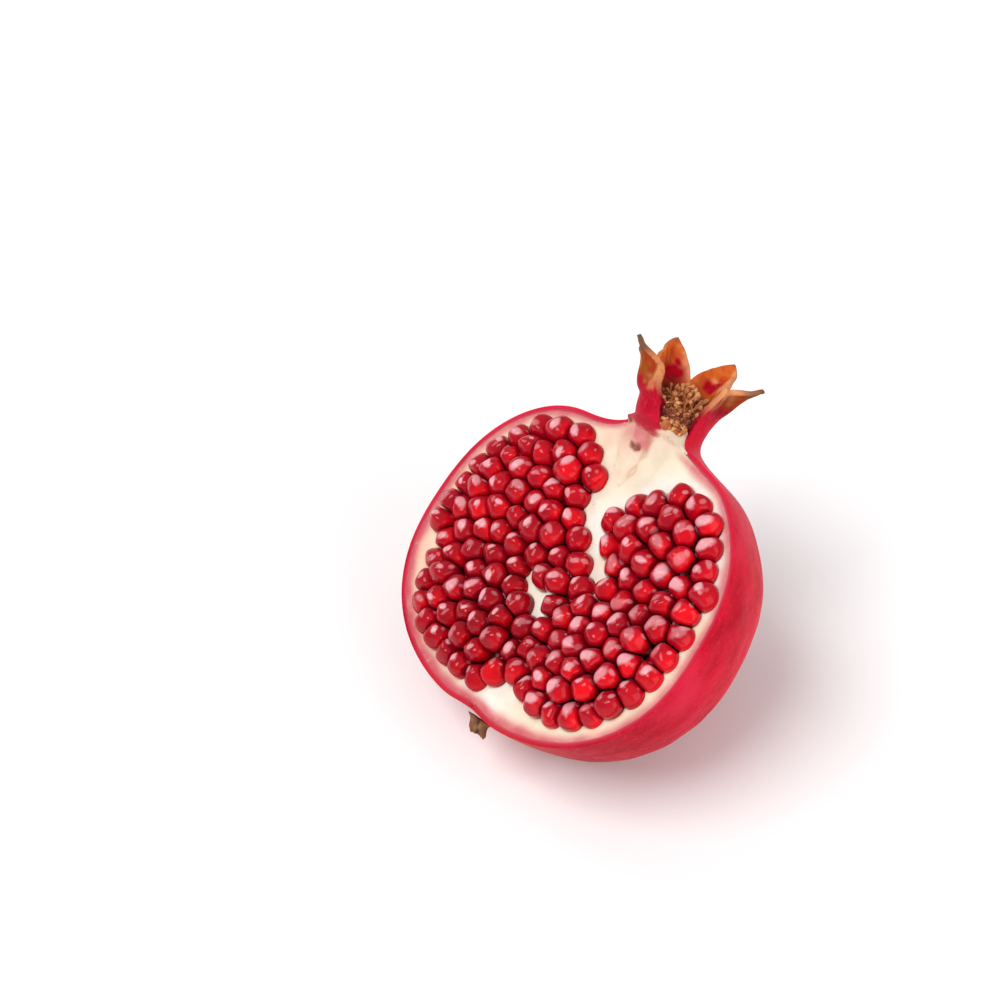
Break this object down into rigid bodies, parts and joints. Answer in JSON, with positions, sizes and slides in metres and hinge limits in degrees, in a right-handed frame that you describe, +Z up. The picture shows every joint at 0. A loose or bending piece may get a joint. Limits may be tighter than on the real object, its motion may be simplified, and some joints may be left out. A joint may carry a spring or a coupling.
{
  "type": "half pomegranate",
  "caption": "Half pomegranate cut lengthwise and lying on its back, with leathery red rind, an open lobed crown, cream pith and glossy ruby arils in chambers.",
  "frame": {"origin": "middle of the small flat spot on the back of the half fruit, which it rests on", "axes": "+Z up, out of the surface it rests on; the crown points up and towards +X, and the cut face looks up, to -X and a little to -Y"},
  "size_m": [0.0875, 0.0969, 0.0831],
  "materials": {
    "rind": "satin",
    "pith": "matte",
    "arils": "gloss",
    "stamens": "matte",
    "stem": "matte"
  },
  "bodies": {
    "root": {"rind": "rind", "pith": "pith", "arils_upper": "arils", "arils_left": "arils", "arils_centre": "arils", "arils_right": "arils", "arils_lower": "arils", "stamens": "stamens", "stem_stub": "stem"}
  },
  "joints": []
}
